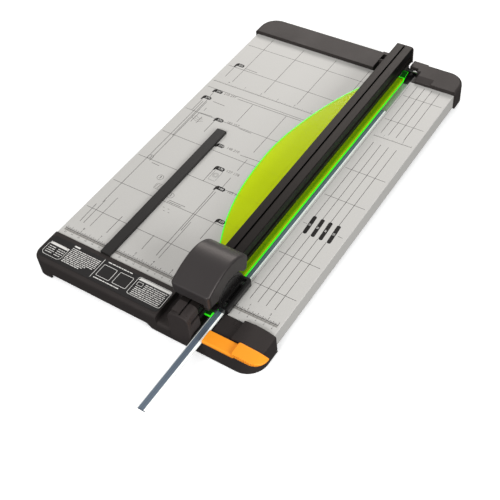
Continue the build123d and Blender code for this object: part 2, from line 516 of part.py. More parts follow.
# grip: follows the base's rounded corner, moved out by the slide
gx1 = FX1 + LEVER_SLIDE
grip = plan(271.5, gx1, Y_FRONT - 0.9, -26.0, (2.5, 15.5, 1.3, 2.5), 0.2, 7.0)
sp = Spline((266.0, -50.0, 6.3), (273.0, -50.0, 6.25), (279.0, -50.0, 6.0), (286.0, -50.0, 5.6), (293.0, -50.0, 5.1),
            (299.0, -50.0, 4.3), (304.0, -50.0, 3.1), (309.0, -50.0, 1.6))
ln = Polyline((309.0, -50.0, 1.6), (309.0, -50.0, -2.0), (266.0, -50.0, -2.0), (266.0, -50.0, 6.3))
grip = grip & extrude(make_face(Wire([sp] + list(ln.edges()))), amount=30.0, dir=(0, 1, 0))
grip = soft(grip, lambda s: s.faces().sort_by(Axis.Z)[-1].edges(), 1.2)
grip = soft(grip, lambda s: s.edges().group_by(Axis.Z)[0].filter_by(lambda e: e.center().Y < -27), 0.9)
# scalloped front edge
for i in range(9):
    x = 275.6 + i * 2.75
    yb = Y_FRONT - 0.9
    if x > gx1 - 15.5:
        d = x - (gx1 - 15.5)
        yb = Y_FRONT - 0.9 + 15.5 - math.sqrt(max(15.5 ** 2 - d * d, 0.0))
    grip -= cz(x, yb - 0.9, 1.5, -4, 8)
lever = bar + grip
lever += cz(249.7, -34.7, 2.6, -5.0, 0)
lever -= cz(249.7, -34.7, 1.2, -5.1, 1.2)
emit("mat_lock_lever", lever)
emit("lever_screw", cz(249.7, -34.7, 1.15, -5.9, 0.9) + cz(249.7, -34.7, 3.7, -5.9, -5.0) + cz(249.7, -34.7, 2.3, -7.2, -5.9))
emit("lever_detent", bx(239.0, 254.5, -29.6, -28.8, -9.6, -4.4))

# ---------------------------------------------------------------- gauge bar
bar_z0 = 0.12
g = bx(GAUGE_X0, GAUGE_X1, GAUGE_Y0, GAUGE_Y1, bar_z0 + 0.4, bar_z0 + GAUGE_T)
g = soft(g, lambda s: s.edges().group_by(Axis.Z)[-1], 0.7)
g = soft(g, lambda s: s.edges().filter_by(Axis.Z).group_by(Axis.Y)[-1], 1.6)
gx = (GAUGE_X0 + GAUGE_X1) / 2
mags, pads = [], []
for y in (24.0, 117.0, 210.0):
    g -= bx(gx - 4.0, gx + 4.0, y - 10, y + 10, 0.0, bar_z0 + 2.2)
    mags.append(bx(gx - 4.0, gx + 4.0, y - 10, y + 10, bar_z0 + 0.4, bar_z0 + 2.2))
for y in (70.5, 163.5):
    pads.append(bx(gx - 5.0, gx + 5.0, y - 18, y + 18, bar_z0, bar_z0 + 0.4))
emit("gauge_bar", g)
emit("gauge_magnets", *mags)
emit("gauge_pads", *pads)
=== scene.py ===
import math
import random

import bmesh
import bpy
from mathutils import Matrix, Vector


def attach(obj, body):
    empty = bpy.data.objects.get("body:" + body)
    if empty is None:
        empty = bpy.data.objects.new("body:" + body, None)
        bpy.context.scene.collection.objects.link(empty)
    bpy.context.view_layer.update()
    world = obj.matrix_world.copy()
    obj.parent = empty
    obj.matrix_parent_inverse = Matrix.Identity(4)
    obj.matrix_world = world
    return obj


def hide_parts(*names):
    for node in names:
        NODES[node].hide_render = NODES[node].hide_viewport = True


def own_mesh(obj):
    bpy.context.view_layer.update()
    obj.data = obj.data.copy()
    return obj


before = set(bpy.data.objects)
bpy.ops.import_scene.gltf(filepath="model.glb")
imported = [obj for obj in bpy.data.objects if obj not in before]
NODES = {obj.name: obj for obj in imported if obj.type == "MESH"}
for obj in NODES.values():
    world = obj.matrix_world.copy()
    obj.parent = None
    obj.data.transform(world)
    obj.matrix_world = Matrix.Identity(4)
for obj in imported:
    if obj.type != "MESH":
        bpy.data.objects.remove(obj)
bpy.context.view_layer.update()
rnd = random.Random(11)

# ---------------------------------------------------------------- places
# Drawing datum in millimetres: x from the board's left edge, y from the paper stop, z from the board's face.
OX, OY, OZ = -152.25, -164.25, 28.0
CUT_X = 228.4


def D(x, y, z=0.0):
    return Vector(((x + OX) / 1000.0, (y + OY) / 1000.0, (z + OZ) / 1000.0))


def srgb(r, g, b):
    def f(c):
        c /= 255.0
        return c / 12.92 if c <= 0.04045 else ((c + 0.055) / 1.055) ** 2.4
    return (f(r), f(g), f(b), 1.0)


def shade(c, k):
    return (min(c[0] * k, 1.0), min(c[1] * k, 1.0), min(c[2] * k, 1.0), 1.0)


# ---------------------------------------------------------------- camera, lights, floor
scene = bpy.context.scene
scene.view_settings.view_transform = "Standard"
scene.view_settings.look = "None"
scene.view_settings.exposure = 0.0
scene.view_settings.gamma = 1.0

AZ, EL, ROLL = math.radians(38.47), math.radians(48.66), math.radians(-7.09)
fwd = Vector((-math.sin(AZ) * math.cos(EL), math.cos(AZ) * math.cos(EL), -math.sin(EL)))
right = Vector((math.cos(AZ), math.sin(AZ), 0.0))
down = fwd.cross(right)
row0 = math.cos(ROLL) * right - math.sin(ROLL) * down
row1 = math.sin(ROLL) * right + math.cos(ROLL) * down
cam_data = bpy.data.cameras.new("camera")
cam_data.lens = 63.69
cam_data.sensor_width = 36.0
cam_data.clip_start, cam_data.clip_end = 0.01, 50.0
cam = bpy.data.objects.new("camera", cam_data)
scene.collection.objects.link(cam)
m = Matrix.Identity(4)
for i in range(3):
    m[i][0], m[i][1], m[i][2] = row0[i], -row1[i], -fwd[i]
m[0][3], m[1][3], m[2][3] = 0.45977, -0.58361, 0.76114
cam.matrix_world = m
scene.camera = cam


def area_light(name, towards, dist, size, power, colour=(1, 1, 1)):
    """Soft box in the direction of towards, aimed at the middle of the object."""
    d = bpy.data.lights.new(name, "AREA")
    d.shape = "RECTANGLE"
    d.size, d.size_y = size
    d.energy = power
    d.color = colour
    o = bpy.data.objects.new(name, d)
    scene.collection.objects.link(o)
    v = Vector(towards).normalized()
    o.location = v * dist
    o.rotation_mode = "QUATERNION"
    o.rotation_quaternion = (-v).to_track_quat("-Z", "Y")
    return o


# a soft dome, white above and dim below the horizon
world = bpy.data.worlds.new("studio")
scene.world = world
world.use_nodes = True
wt = world.node_tree
bg = wt.nodes["Background"]
w_co = wt.nodes.new("ShaderNodeTexCoord")
w_xyz = wt.nodes.new("ShaderNodeSeparateXYZ")
w_map = wt.nodes.new("ShaderNodeMapRange")
wt.links.new(w_co.outputs["Generated"], w_xyz.inputs[0])
wt.links.new(w_xyz.outputs[2], w_map.inputs[0])
for i, v in enumerate((-0.15, 0.2, 0.10, 0.42)):
    w_map.inputs[i + 1].default_value = v
bg.inputs["Color"].default_value = (1.0, 1.0, 1.0, 1.0)
wt.links.new(w_map.outputs[0], bg.inputs["Strength"])

area_light("key_rear", (-0.38, 0.88, 0.54), 2.6, (1.5, 0.9), 23.0, (1.0, 0.965, 0.93))
area_light("fill_right", (0.88, -0.24, 0.44), 2.6, (1.6, 1.0), 45.0, (0.99, 1.0, 1.0))
area_light("fill_front", (0.06, -0.86, 0.62), 2.6, (1.2, 0.8), 29.0, (0.985, 0.99, 1.0))


# ---------------------------------------------------------------- node materials
class Surface:
    """A Principled surface whose colour, roughness and bump come from procedural nodes."""

    def __init__(self, name):
        self.m = bpy.data.materials.new(name)
        self.m.use_nodes = True
        self.t = self.m.node_tree
        self.t.nodes.clear()
        self.out = self.add("ShaderNodeOutputMaterial")
        self.b = self.add("ShaderNodeBsdfPrincipled")
        self.t.links.new(self.b.outputs["BSDF"], self.out.inputs["Surface"])
        self.co = self.add("ShaderNodeTexCoord")

    def add(self, kind, **kw):
        n = self.t.nodes.new(kind)
        for k, v in kw.items():
            setattr(n, k, v)
        return n

    def put(self, socket, v):
        if isinstance(v, bpy.types.NodeSocket):
            self.t.links.new(v, socket)
        else:
            socket.default_value = v

    def noise(self, scale, detail=4.0, rough=0.55, stretch=(1, 1, 1), seed=0.0):
        mp = self.add("ShaderNodeMapping")
        mp.inputs["Scale"].default_value = stretch
        mp.inputs["Location"].default_value = (seed, seed * 0.37, seed * 0.71)
        self.t.links.new(self.co.outputs["Object"], mp.inputs["Vector"])
        n = self.add("ShaderNodeTexNoise")
        n.inputs["Scale"].default_value = scale
        n.inputs["Detail"].default_value = detail
        n.inputs["Roughness"].default_value = rough
        self.t.links.new(mp.outputs["Vector"], n.inputs["Vector"])
        return n.outputs["Fac"]

    def voronoi(self, scale, stretch=(1, 1, 1)):
        mp = self.add("ShaderNodeMapping")
        mp.inputs["Scale"].default_value = stretch
        self.t.links.new(self.co.outputs["Object"], mp.inputs["Vector"])
        n = self.add("ShaderNodeTexVoronoi")
        n.inputs["Scale"].default_value = scale
        self.t.links.new(mp.outputs["Vector"], n.inputs["Vector"])
        return n.outputs["Distance"]

    def remap(self, v, a0, a1, b0, b1, smooth=False):
        n = self.add("ShaderNodeMapRange")
        n.interpolation_type = "SMOOTHSTEP" if smooth else "LINEAR"
        n.clamp = True
        self.put(n.inputs[0], v)
        for i, x in enumerate((a0, a1, b0, b1)):
            n.inputs[i + 1].default_value = x
        return n.outputs[0]

    def math(self, op, a, b=0.0, c=0.0):
        n = self.add("ShaderNodeMath", operation=op)
        self.put(n.inputs[0], a)
        self.put(n.inputs[1], b)
        self.put(n.inputs[2], c)
        return n.outputs[0]

    def mix(self, fac, a, b, blend="MIX"):
        n = self.add("ShaderNodeMix", data_type="RGBA", blend_type=blend)
        self.put(n.inputs[0], fac)
        self.put(n.inputs[6], a)
        self.put(n.inputs[7], b)
        return n.outputs[2]

    def axis(self, which, i):
        """One component of the object coordinates or the object normal."""
        s = self.add("ShaderNodeSeparateXYZ")
        self.t.links.new(self.co.outputs[which], s.inputs[0])
        return s.outputs[i]


def surface(name, colour, vary=0.05, rough=0.5, rough_vary=0.06, metallic=0.0, spec=0.5, ior=1.5,
            coarse=14.0, fine=1400.0, speck=0.03, bump=0.12, dist=0.00004, stretch=(1, 1, 1),
            edge=0.0004, wear=None, wear_amount=0.0, dirt=0.0, coat=0.0, coat_rough=0.15,
            emit=None, emit_strength=0.0, scratch=0.0, tint=None):
    s = Surface(name)
    cloud = s.noise(coarse, 5.0, 0.6, stretch)
    grain = s.noise(fine, 2.0, 0.6, stretch, 3.1)
    col = s.mix(s.remap(cloud, 0.32, 0.68, 0.0, 1.0), shade(colour, 1.0 - vary), shade(colour, 1.0 + vary))
    k = s.remap(grain, 0.3, 0.7, 1.0 - speck, 1.0 + speck)
    g = s.add("ShaderNodeCombineXYZ")
    for i in range(3):
        s.t.links.new(k, g.inputs[i])
    col = s.mix(1.0, col, g.outputs[0], "MULTIPLY")
    r = s.remap(s.math("ADD", s.math("MULTIPLY", cloud, 0.6), s.math("MULTIPLY", grain, 0.4)),
                0.35, 0.65, max(rough - rough_vary, 0.02), min(rough + rough_vary, 1.0))
    height = grain
    if scratch:
        line = s.noise(60.0, 3.0, 0.7, (14.0, 0.5, 3.0), 9.0)
        fineline = s.remap(line, 0.66, 0.72, 0.0, scratch)
        col = s.mix(fineline, col, shade(colour, 1.25))
        height = s.math("SUBTRACT", grain, fineline)
    normal = None
    if edge:
        bev = s.add("ShaderNodeBevel", samples=4)
        bev.inputs["Radius"].default_value = edge
        normal = bev.outputs[0]
        if wear is not None and wear_amount:
            geo = s.add("ShaderNodeNewGeometry")
            dot = s.add("ShaderNodeVectorMath", operation="DOT_PRODUCT")
            s.t.links.new(bev.outputs[0], dot.inputs[0])
            s.t.links.new(geo.outputs["Normal"], dot.inputs[1])
            rim = s.remap(dot.outputs["Value"], 0.97, 0.8, 0.0, 1.0)
            patch = s.remap(s.noise(220.0, 4.0, 0.65, (1, 1, 1), 5.5), 0.4, 0.66, 0.25, 1.0)
            col = s.mix(s.math("MULTIPLY", s.math("MULTIPLY", rim, patch), wear_amount), col, wear)
    if dirt:
        smear = s.remap(s.noise(38.0, 6.0, 0.7, (1.0, 0.6, 1.0), 12.0), 0.52, 0.74, 0.0, dirt)
        col = s.mix(smear, col, shade(colour, 0.72))
    bp = s.add("ShaderNodeBump")
    bp.inputs["Strength"].default_value = bump
    bp.inputs["Distance"].default_value = dist
    s.put(bp.inputs["Height"], height)
    if normal is not None:
        s.t.links.new(normal, bp.inputs["Normal"])
    s.put(s.b.inputs["Base Color"], col)
    s.put(s.b.inputs["Roughness"], r)
    s.t.links.new(bp.outputs[0], s.b.inputs["Normal"])
    s.b.inputs["Metallic"].default_value = metallic
    s.b.inputs["Specular IOR Level"].default_value = spec
    s.b.inputs["IOR"].default_value = ior
    s.b.inputs["Coat Weight"].default_value = coat
    s.b.inputs["Coat Roughness"].default_value = coat_rough
    if tint is not None:
        s.b.inputs["Specular Tint"].default_value = tint
    if emit is not None:
        s.b.inputs["Emission Color"].default_value = emit
        s.b.inputs["Emission Strength"].default_value = emit_strength
    s.col, s.rough_out, s.bump_node = col, r, bp
    return s


MAT = {}
MAT["board"] = surface("board_enamel", srgb(196, 194, 190), vary=0.012, rough=0.44, rough_vary=0.05, coarse=6.0, fine=1100.0,
                       speck=0.045, bump=0.10, dist=0.00002, edge=0.0006, wear=srgb(235, 235, 235), wear_amount=0.25,
                       dirt=0.035)


# channel under the cutting line: pale metal along the board, darker, near black and non-metallic at both ends where it
# runs into the end caps
def tray_surface():
    s = surface("tray_metal", srgb(198, 201, 199), vary=0.03, rough=0.36, metallic=0.6, fine=900.0, speck=0.04,
                stretch=(6.0, 0.15, 6.0), bump=0.18, scratch=0.25)
    y = s.axis("Object", 1)
    ends = s.math("MAXIMUM", s.remap(y, (2.0 + OY) / 1000.0, (1.0 + OY) / 1000.0, 0.0, 1.0),
                  s.remap(y, (426.0 + OY) / 1000.0, (427.5 + OY) / 1000.0, 0.0, 1.0))
    s.put(s.b.inputs["Base Color"], s.mix(ends, s.col, srgb(20, 19, 19)))
    s.put(s.b.inputs["Metallic"], s.math("SUBTRACT", 0.6, s.math("MULTIPLY", ends, 0.6)))
    return s


MAT["tray"] = tray_surface()
MAT["brace"] = surface("brace_plastic", srgb(52, 50, 49), rough=0.6, bump=0.25)
MAT["cap"] = surface("cap_plastic", srgb(50, 46, 45), vary=0.06, rough=0.46, rough_vary=0.07, tint=(1.0, 0.90, 0.86, 1.0), spec=0.2, fine=1900.0, speck=0.12,
                     bump=0.32, dist=0.00006, edge=0.0005, wear=srgb(92, 86, 83), wear_amount=0.35, dirt=0.12)
MAT["label"] = surface("label_film", srgb(24, 22, 22), vary=0.05, rough=0.42, rough_vary=0.08, spec=0.35, fine=900.0, speck=0.03,
                       bump=0.06, coarse=30.0, coat=0.15, coat_rough=0.25, dirt=0.1)
MAT["screw"] = surface("screw_steel", srgb(176, 174, 168), vary=0.06, rough=0.3, metallic=1.0, fine=700.0, bump=0.15,
                       stretch=(1, 1, 4), wear=srgb(220, 218, 212), wear_amount=0.5, edge=0.0002)
MAT["screw_black"] = surface("screw_black", srgb(30, 29, 29), vary=0.06, rough=0.34, metallic=0.5, fine=700.0, bump=0.15,
                             wear=srgb(120, 118, 114), wear_amount=0.4, edge=0.0002)
MAT["foot"] = surface("foot_rubber", srgb(40, 39, 39), vary=0.08, rough=0.86, fine=2200.0, speck=0.1, bump=0.4, dirt=0.2)
MAT["pin"] = surface("pin_steel", srgb(205, 205, 203), rough=0.14, rough_vary=0.05, metallic=1.0, fine=600.0, bump=0.06,
                     stretch=(0.2, 4, 4), edge=0.0002)
MAT["bush"] = surface("bush_plastic", srgb(26, 25, 25), rough=0.5, bump=0.15, edge=0.0002)
MAT["spring"] = surface("spring_steel", srgb(188, 187, 182), rough=0.24, metallic=1.0, fine=500.0, bump=0.1, edge=0.0)
MAT["rail_end"] = surface("rail_end_plastic", srgb(55, 50, 49), vary=0.05, rough=0.46, tint=(1.0, 0.90, 0.86, 1.0), spec=0.2, fine=1900.0, speck=0.08, bump=0.3,
                          dist=0.00006, edge=0.0005, wear=srgb(92, 86, 83), wear_amount=0.35, dirt=0.08)
MAT["glide"] = surface("glide_plastic", srgb(228, 225, 215), rough=0.35, bump=0.05, edge=0.0002)
MAT["hood"] = surface("hood_plastic", srgb(55, 52, 52), vary=0.035, rough=0.38, rough_vary=0.05, tint=(1.0, 0.90, 0.86, 1.0), spec=0.34, fine=1600.0, speck=0.05,
                      bump=0.16, dist=0.00004, edge=0.0005, wear=srgb(98, 92, 89), wear_amount=0.3, dirt=0.06)
# painted shade: the cheeks of the hood that face +x are painted darker than its crown
hs = MAT["hood"]
hood_geo = hs.add("ShaderNodeNewGeometry")
hood_xyz = hs.add("ShaderNodeSeparateXYZ")
hs.t.links.new(hood_geo.outputs["Normal"], hood_xyz.inputs[0])
painted_side_shade = hs.remap(hood_xyz.outputs[0], 0.75, 0.97, 1.0, 0.6)
painted_side_shade3 = hs.add("ShaderNodeCombineXYZ")
for i in range(3):
    hs.t.links.new(painted_side_shade, painted_side_shade3.inputs[i])
hs.put(hs.b.inputs["Base Color"],
       hs.mix(1.0, hs.b.inputs["Base Color"].links[0].from_socket, painted_side_shade3.outputs[0], "MULTIPLY"))
MAT["guard"] = surface("guard_plastic", srgb(18, 17, 17), vary=0.05, rough=0.28, rough_vary=0.07, spec=0.35, fine=1200.0, speck=0.04,
                       bump=0.08, edge=0.0004, wear=srgb(90, 84, 80), wear_amount=0.3)
MAT["holder"] = surface("holder_steel", srgb(168, 168, 164), rough=0.34, metallic=1.0, fine=800.0, stretch=(1, 4, 0.4),
                        bump=0.15, edge=0.0002)
MAT["blade"] = surface("blade_steel", srgb(205, 207, 210), rough=0.16, metallic=1.0, fine=700.0, bump=0.05, edge=0.0001)
MAT["hub"] = surface("hub_plastic", srgb(222, 221, 214), rough=0.3, bump=0.04, edge=0.0002)
# painted glow: the lever plastic carries a faint orange emission so it reads brighter
MAT["lever"] = surface("lever_plastic", srgb(255, 156, 34), vary=0.035, rough=0.4, rough_vary=0.06, spec=0.3, fine=1500.0,
                       speck=0.03, bump=0.14, dist=0.00005, edge=0.0005, wear=srgb(255, 190, 120), wear_amount=0.35,
                       dirt=0.05, emit=srgb(255, 140, 40), emit_strength=0.06)
MAT["gauge"] = surface("gauge_plastic", srgb(33, 31, 30), vary=0.045, rough=0.5, spec=0.35, fine=1800.0, speck=0.07, bump=0.28,
                       dist=0.00005, edge=0.0005, wear=srgb(92, 87, 84), wear_amount=0.35, dirt=0.08)
MAT["magnet"] = surface("magnet_ferrite", srgb(48, 47, 47), rough=0.6, metallic=0.3, bump=0.3, edge=0.0003)
MAT["bump"] = surface("bump_rubber", srgb(34, 33, 33), rough=0.88, fine=2000.0, bump=0.35)
MAT["detent"] = surface("detent_steel", srgb(182, 181, 176), rough=0.28, metallic=1.0, stretch=(0.3, 3, 3), edge=0.0002)
MAT["ink_dark"] = surface("ink_dark", srgb(22, 20, 19), vary=0.05, rough=0.5, spec=0.2, fine=2500.0, speck=0.10, bump=0.05, edge=0.0)
MAT["ink_line"] = surface("ink_line", srgb(56, 52, 50), vary=0.08, rough=0.5, spec=0.25, fine=2500.0, speck=0.10, bump=0.05, edge=0.0)
MAT["ink_pale"] = surface("ink_pale", srgb(112, 108, 104), vary=0.05, rough=0.5, spec=0.25, fine=2500.0, speck=0.10, bump=0.05, edge=0.0)
MAT["ink_band"] = surface("ink_band", srgb(142, 139, 134), vary=0.06, rough=0.5, fine=2500.0, speck=0.12, bump=0.05, edge=0.0)
MAT["ink_white"] = surface("ink_white", srgb(226, 224, 220), vary=0.03, rough=0.5, fine=2500.0, speck=0.06, bump=0.05, edge=0.0)


# rail: brushed along its length; painted light: faces turned up take the lit top colour as a painted sheen, side walls
# are painted near black as shade, and the tops are painted darker towards the front as a painted reflection gradient
def rail_surface():
    s = surface("rail_anodised", srgb(40, 36, 34), vary=0.05, rough=0.42, rough_vary=0.06, tint=(1.0, 0.90, 0.86, 1.0), spec=0.15, fine=900.0,
                speck=0.10, stretch=(9.0, 0.12, 9.0), bump=0.22, dist=0.00004, edge=0.0004,
                wear=srgb(104, 96, 91), wear_amount=0.35, scratch=0.12)
    # painted sheen and shade: colour picked by which way a face is turned and how far back it lies
    painted_lit_top = s.remap(s.axis("Normal", 2), 0.5, 0.95, 0.0, 1.0, True)
    along = s.remap(s.axis("Object", 1), (40.0 + OY) / 1000.0, (330.0 + OY) / 1000.0, 0.45, 1.15, True)
    top = s.mix(along, srgb(10, 9, 9), s.col)
    s.put(s.b.inputs["Base Color"], s.mix(painted_lit_top, srgb(11, 10, 10), top))
    return s


MAT["rail"] = rail_surface()


# cutting mat: milky blue grey strip, pale chamfers, a scored line where the disc runs
def mat_surface():
    s = surface("mat_plastic", srgb(96, 108, 122), vary=0.05, rough=0.34, rough_vary=0.07, fine=800.0, speck=0.04,
                stretch=(4.0, 0.3, 4.0), bump=0.12, edge=0.0003, scratch=0.2)
    nx = s.math("ABSOLUTE", s.axis("Normal", 0))
    side = s.remap(nx, 0.12, 0.22, 0.0, 1.0)
    col = s.mix(side, s.col, srgb(236, 238, 234))
    x = s.axis("Object", 0)
    off = s.math("ABSOLUTE", s.math("SUBTRACT", x, (CUT_X + OX) / 1000.0))
    score = s.remap(off, 0.00018, 0.00042, 0.55, 0.0)
    s.put(s.b.inputs["Base Color"], s.mix(score, col, srgb(70, 80, 92)))
    # painted glow: the bevelled edge faces, pale in their own colour, also emit a pale light so they stay bright where
    # the slot shades them
    s.b.inputs["Emission Color"].default_value = (0.95, 1.0, 0.97, 1.0)
    s.put(s.b.inputs["Emission Strength"], s.math("MULTIPLY", side, 0.22))
    return s


MAT["mat"] = mat_surface()


def guide_surface(name, base, tint, share, emit_strength, shaded=True):
    """Clear sheet with a dye: light goes through tinted; the rest is a surface with a painted glow, stronger near the
    free edge.
    """
    s = surface(name, base, vary=0.02, rough=0.16, rough_vary=0.05, fine=500.0, speck=0.01, bump=0.03, edge=0.0, ior=1.49,
                spec=0.35, emit=srgb(200, 255, 10), emit_strength=emit_strength, coarse=9.0)
    x = s.axis("Object", 0)
    if shaded:
        shade_strip(s, x, emit_strength)
    clear = s.add("ShaderNodeBsdfTransparent")
    clear.inputs["Color"].default_value = tint
    both = s.add("ShaderNodeMixShader")
    both.inputs[0].default_value = share
    s.t.links.new(clear.outputs[0], both.inputs[1])
    s.t.links.new(s.b.outputs["BSDF"], both.inputs[2])
    s.t.links.new(both.outputs[0], s.out.inputs["Surface"])
    return s


def shade_strip(s, x, emit_strength):
    """Painted light: glow painted brighter towards the free edge and the left edge, and a darker green painted where
    the rail's shadow falls on the strip.
    """
    # painted glow: emission rising towards the free edge and the left edge
    near = s.math("MULTIPLY", s.remap(x, (222.2 + OX) / 1000.0, (225.6 + OX) / 1000.0, 0.0, 1.0, True),
                  s.remap(x, (225.6 + OX) / 1000.0, (226.9 + OX) / 1000.0, 1.0, 0.35))
    left = s.remap(x, (200.0 + OX) / 1000.0, (206.0 + OX) / 1000.0, 0.45, 0.0)
    s.put(s.b.inputs["Emission Strength"], s.math("ADD", s.math("MULTIPLY", s.math("MAXIMUM", near, left), 0.075), emit_strength))
    # painted shadow of the rail: darker green over the strip beside and under it
    strip = s.math("MULTIPLY", s.remap(x, (214.0 + OX) / 1000.0, (221.0 + OX) / 1000.0, 0.0, 1.0),
                   s.remap(x, (222.6 + OX) / 1000.0, (226.0 + OX) / 1000.0, 1.0, 0.25))
    s.put(s.b.inputs["Base Color"], s.mix(strip, s.col, shade(srgb(96, 178, 20), 0.9)))


MAT["guide"] = guide_surface("guide_acrylic", srgb(238, 250, 22), (0.95, 1.0, 0.22, 1.0), 0.36, 0.04)
# painted shade: a darker, more deeply tinted copy of the sheet for the front tab and the tail, which lie in shade
MAT["guide_end_shaded"] = guide_surface("guide_end_shaded", srgb(20, 84, 22), (0.15, 0.7, 0.15, 1.0), 0.7, 0.0, False)
# painted glow: the rim and side faces emit green light, standing for the sheet's fluorescent edge light
MAT["guide_edge"] = surface("guide_edge", srgb(70, 236, 40), vary=0.05, rough=0.2, fine=500.0, speck=0.02, bump=0.03,
                            edge=0.0, ior=1.49, emit=srgb(20, 255, 20), emit_strength=0.38, coarse=30.0)
# painted glow: a faint green emission on the posts
MAT["guide_tab"] = surface("guide_tab", srgb(110, 160, 16), rough=0.2, ior=1.49, bump=0.03, edge=0.0003,
                           emit=srgb(60, 200, 10), emit_strength=0.03)
MAT["floor"] = surface("floor_paper", srgb(250, 250, 250), vary=0.004, rough=0.9, rough_vary=0.02, coarse=1.2, fine=60.0,
                       speck=0.004, bump=0.02, edge=0.0, spec=0.1, emit=(1, 1, 1, 1), emit_strength=0.34)


def paint(ob, key):
    mat = MAT[key].m
    if not ob.data.materials:
        ob.data.materials.append(mat)
    else:
        for i in range(len(ob.data.materials)):
            ob.data.materials[i] = mat


NODE_MAT = {
    "board_main_panel": "board", "board_side_panel": "board", "mat_tray": "tray", "under_braces": "brace",
    "front_end_cap": "cap", "rear_end_cap": "cap", "label_plate": "label", "cap_screws": "screw", "rubber_feet": "foot",
    "rail_bump_pad": "bump", "hinge_pin": "pin", "hinge_bushes": "bush", "lever_detent": "detent",
    "rail_extrusion": "rail", "rail_front_end": "rail_end", "rail_rear_end": "rail_end", "rail_end_screws": "screw",
    "guide_springs": "spring", "paper_guide": "guide", "guide_posts": "guide_tab", "carriage_saddle": "rail_end",
    "carriage_glides": "glide", "press_guide_pins": "pin", "press_springs": "spring", "cutter_hood": "hood",
    "blade_holder": "holder", "blade_guard": "guard", "blade_axle_screw": "screw_black", "holder_screws": "screw",
    "disc_blade": "blade", "blade_hub": "hub", "blade_clip": "screw", "cutting_mat": "mat", "mat_lock_lever": "lever",
    "lever_screw": "screw", "gauge_bar": "gauge", "gauge_magnets": "magnet", "gauge_pads": "bump",
}
for n, ob in NODES.items():
    paint(ob, NODE_MAT[n])

floor_mesh = bpy.data.meshes.new("floor")
bm = bmesh.new()
bmesh.ops.create_grid(bm, x_segments=4, y_segments=4, size=24.0)
bm.to_mesh(floor_mesh)
bm.free()
floor = bpy.data.objects.new("floor", floor_mesh)
scene.collection.objects.link(floor)
paint(floor, "floor")
floor.visible_diffuse = False
floor.visible_glossy = False
floor.visible_shadow = False


# ---------------------------------------------------------------- mesh helpers
def finish_piece(bm, name, key, body, smooth=False, extra=()):
    bmesh.ops.recalc_face_normals(bm, faces=bm.faces)
    me = bpy.data.meshes.new(name)
    bm.to_mesh(me)
    bm.free()
    for p in me.polygons:
        p.use_smooth = smooth
    ob = bpy.data.objects.new(name, me)
    scene.collection.objects.link(ob)
    me.materials.append(MAT[key].m)
    for k in extra:
        me.materials.append(MAT[k].m)
    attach(ob, body)
    return ob


def prism(bm, pts, z0, z1):
    """Closed prism from a polygon of (x, y) in drawing millimetres."""
    lo = [bm.verts.new(D(x, y, z0)) for x, y in pts]
    hi = [bm.verts.new(D(x, y, z1)) for x, y in pts]
    n = len(pts)
    bm.faces.new(lo[::-1])
    bm.faces.new(hi)
    for i in range(n):
        j = (i + 1) % n
        bm.faces.new((lo[i], lo[j], hi[j], hi[i]))


def stroke(bm, a, b, w, z0, z1):
    ax, ay = a
    bx_, by_ = b
    dx, dy = bx_ - ax, by_ - ay
    ln = math.hypot(dx, dy)
    nx, ny = -dy / ln * w / 2, dx / ln * w / 2
    prism(bm, [(ax + nx, ay + ny), (ax - nx, ay - ny), (bx_ - nx, by_ - ny), (bx_ + nx, by_ + ny)], z0, z1)


def ring(bm, c, r, w, z0, z1, a0=0.0, a1=360.0, n=28):
    """Closed band along an arc."""
    full = abs(a1 - a0) >= 359.9
    steps = n if full else max(3, int(n * abs(a1 - a0) / 360.0))
    rows = []
    for i in range(steps if full else steps + 1):
        a = math.radians(a0 + (a1 - a0) * i / steps)
        ca, sa = math.cos(a), math.sin(a)
        rows.append([bm.verts.new(D(c[0] + (r + s * w / 2) * ca, c[1] + (r + s * w / 2) * sa, z))
                     for s, z in ((-1, z0), (1, z0), (1, z1), (-1, z1))])
    cnt = len(rows)
    for i in range(cnt if full else cnt - 1):
        p, q = rows[i], rows[(i + 1) % cnt]
        for k in range(4):
            l = (k + 1) % 4
            bm.faces.new((p[k], q[k], q[l], p[l]))
    if not full:
        bm.faces.new(rows[0])
        bm.faces.new(rows[-1][::-1])


def rounded(x0, y0, x1, y1, r, n=5):
    r = min(r, (x1 - x0) / 2 - 1e-3, (y1 - y0) / 2 - 1e-3)
    pts = []
    for cx_, cy_, a in ((x1 - r, y1 - r, 0), (x0 + r, y1 - r, 90), (x0 + r, y0 + r, 180), (x1 - r, y0 + r, 270)):
        for i in range(n + 1):
            t = math.radians(a + 90.0 * i / n)
            pts.append((cx_ + r * math.cos(t), cy_ + r * math.sin(t)))
    return pts


def frame_line(bm, x0, y0, x1, y1, r, w, z0, z1, n=5):
    """Closed outline of a rounded rectangle."""
    a = rounded(x0, y0, x1, y1, r, n)
    b = rounded(x0 + w, y0 + w, x1 - w, y1 - w, max(r - w, 0.05), n)
    rows = []
    for (ax, ay), (bx_, by_) in zip(a, b):
        rows.append([bm.verts.new(D(x, y, z)) for x, y, z in
                     ((bx_, by_, z0), (ax, ay, z0), (ax, ay, z1), (bx_, by_, z1))])
    for i in range(len(rows)):
        p, q = rows[i], rows[(i + 1) % len(rows)]
        for k in range(4):
            l = (k + 1) % 4
            bm.faces.new((p[k], q[k], q[l], p[l]))


